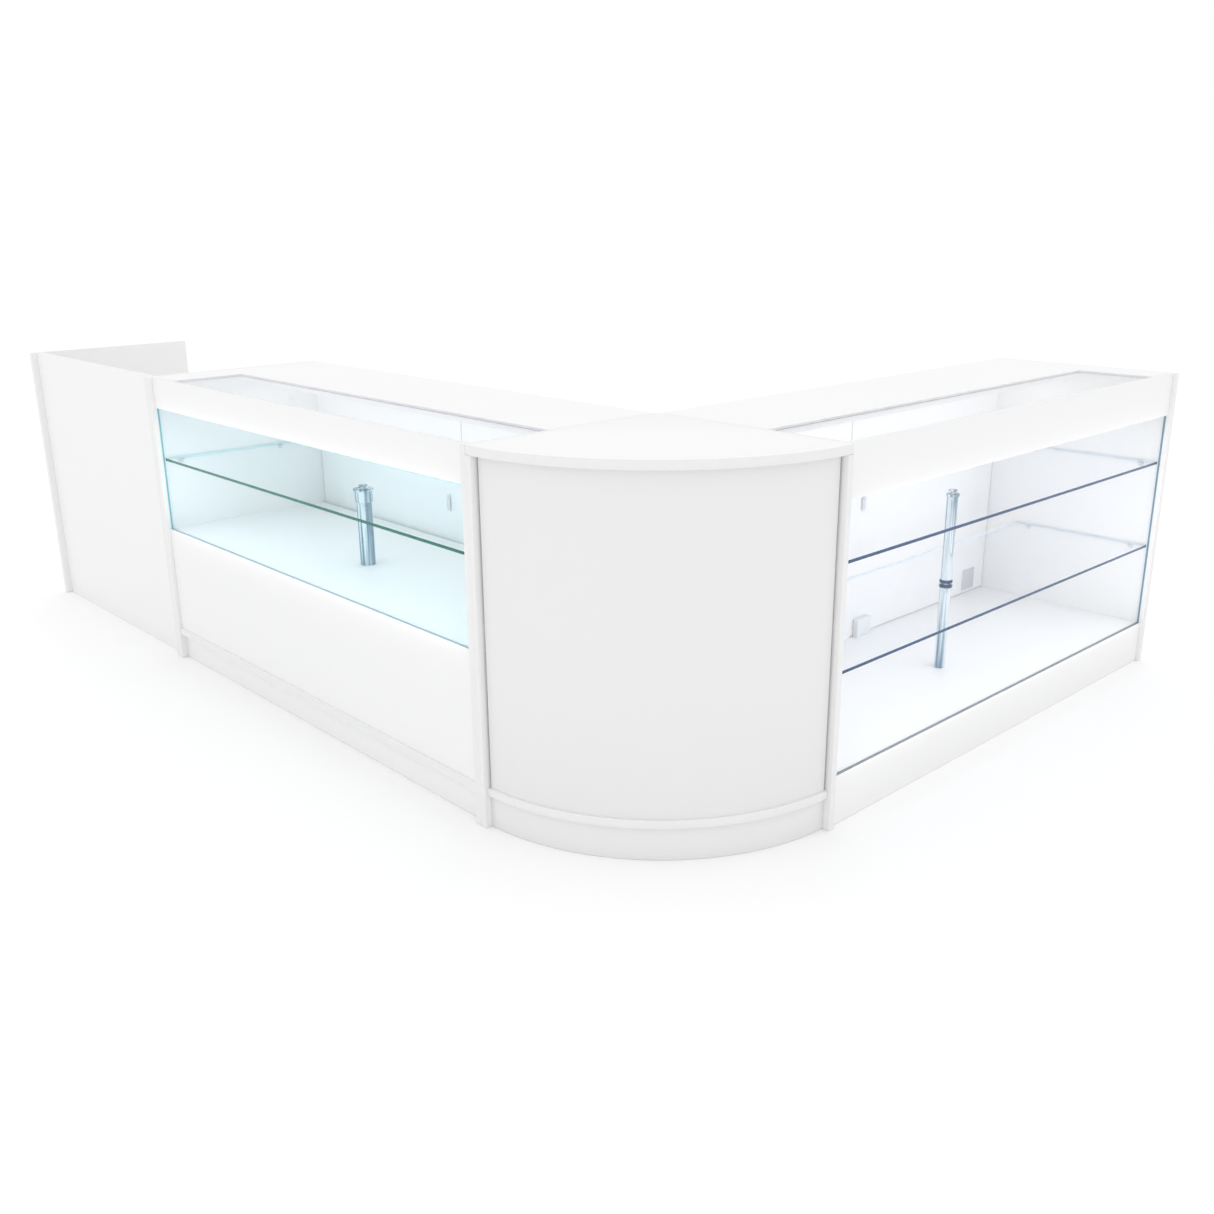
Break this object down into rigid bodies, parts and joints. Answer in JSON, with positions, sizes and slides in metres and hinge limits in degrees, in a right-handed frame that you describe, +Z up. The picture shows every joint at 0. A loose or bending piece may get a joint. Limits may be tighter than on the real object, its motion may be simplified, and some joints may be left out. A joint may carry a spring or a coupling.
{
  "type": "checkout counter",
  "caption": "White L-shaped shop counter: a rounded corner unit between two glazed display counters with glass shelves and rear doors, and a till block with a sunk worktop at the end.",
  "frame": {"origin": "Middle of the whole counter's plan, on the floor", "axes": "+X along the right-hand display counter, away from the corner; +Y along the left-hand arm, from the corner unit to the till block; +Z up. The customer stands at -X and -Y, and the staff side is inside the L."},
  "size_m": [2.18, 3.18, 0.9],
  "materials": {
    "white_board": "white melamine-faced board, satin",
    "bent_board": "bent board in white laminate, satin",
    "pane_glass": "clear float glass, polished",
    "shelf_glass": "clear float glass with green polished edges",
    "post_chrome": "chrome plated tube",
    "hinge_steel": "zinc plated steel",
    "lock_metal": "nickel plated zinc",
    "white_plastic": "moulded, fine texture"
  },
  "bodies": {
    "counter": {"left_near_side": "white_board", "left_far_side": "white_board", "left_fascia": "white_board", "left_worktop": "white_board", "left_end_board": "white_board", "left_deck": "white_board", "left_plinths": "white_board", "left_stile": "white_board", "left_top_glass": "pane_glass", "left_front_glass": "pane_glass", "right_near_side": "white_board", "right_far_side": "white_board", "right_fascia": "white_board", "right_worktop": "white_board", "right_end_board": "white_board", "right_deck": "white_board", "right_plinths": "white_board", "right_stile": "white_board", "right_top_glass": "pane_glass", "right_front_glass": "pane_glass", "left_shelf": "shelf_glass", "right_low_shelf": "shelf_glass", "right_high_shelf": "shelf_glass", "left_post": "post_chrome", "right_low_post": "post_chrome", "right_high_post": "post_chrome", "post_collars": "post_chrome", "left_front_panel": "white_board", "left_base_board": "white_board", "corner_left_side": "white_board", "corner_right_side": "white_board", "corner_top": "white_board", "corner_former": "white_board", "corner_base_board": "white_board", "till_near_side": "white_board", "till_far_side": "white_board", "till_front": "white_board", "till_worktop": "white_board", "till_shelf": "white_board", "till_base_board": "white_board", "till_kickboard": "white_board", "corner_front": "bent_board", "corner_plinth": "bent_board", "hinge_frame_leaves": "hinge_steel", "hinge_pins": "hinge_steel", "shelf_brackets": "hinge_steel", "connector_bolts": "hinge_steel", "door_catches": "white_plastic"},
    "left_near_door_body": {"left_near_door": "white_board", "left_near_hinges": "hinge_steel"},
    "left_near_lock_body": {"left_near_lock": "lock_metal"},
    "left_far_door_body": {"left_far_door": "white_board", "left_far_hinges": "hinge_steel"},
    "left_far_lock_body": {"left_far_lock": "lock_metal"},
    "right_near_door_body": {"right_near_door": "white_board", "right_near_hinges": "hinge_steel"},
    "right_near_lock_body": {"right_near_lock": "lock_metal"},
    "right_far_door_body": {"right_far_door": "white_board", "right_far_hinges": "hinge_steel"},
    "right_far_lock_body": {"right_far_lock": "lock_metal"}
  },
  "joints": [
    {"name": "left_near_door_swing", "type": "hinge", "parent": "counter", "child": "left_near_door_body", "pos_m": [-0.5055, -0.23125, 0.5], "axis": [0, 0, 1], "range_deg": [0, 105]},
    {"name": "left_near_lock_turn", "type": "hinge", "parent": "left_near_door_body", "child": "left_near_lock_body", "pos_m": [-0.51, -0.9595, 0.56], "axis": [-1, 0, 0], "range_deg": [0, 90]},
    {"name": "left_far_door_swing", "type": "hinge", "parent": "counter", "child": "left_far_door_body", "pos_m": [-0.5055, 0.57075, 0.5], "axis": [0, 0, 1], "range_deg": [0, 105]},
    {"name": "left_far_lock_turn", "type": "hinge", "parent": "left_far_door_body", "child": "left_far_lock_body", "pos_m": [-0.51, -0.1575, 0.56], "axis": [-1, 0, 0], "range_deg": [0, 90]},
    {"name": "right_near_door_swing", "type": "hinge", "parent": "counter", "child": "right_near_door_body", "pos_m": [0.26875, -1.0055, 0.5], "axis": [0, 0, -1], "range_deg": [0, 105]},
    {"name": "right_near_lock_turn", "type": "hinge", "parent": "right_near_door_body", "child": "right_near_lock_body", "pos_m": [-0.4595, -1.01, 0.56], "axis": [0, 1, 0], "range_deg": [0, 90]},
    {"name": "right_far_door_swing", "type": "hinge", "parent": "counter", "child": "right_far_door_body", "pos_m": [1.07075, -1.0055, 0.5], "axis": [0, 0, -1], "range_deg": [0, 105]},
    {"name": "right_far_lock_turn", "type": "hinge", "parent": "right_far_door_body", "child": "right_far_lock_body", "pos_m": [0.3425, -1.01, 0.56], "axis": [0, 1, 0], "range_deg": [0, 90]}
  ]
}
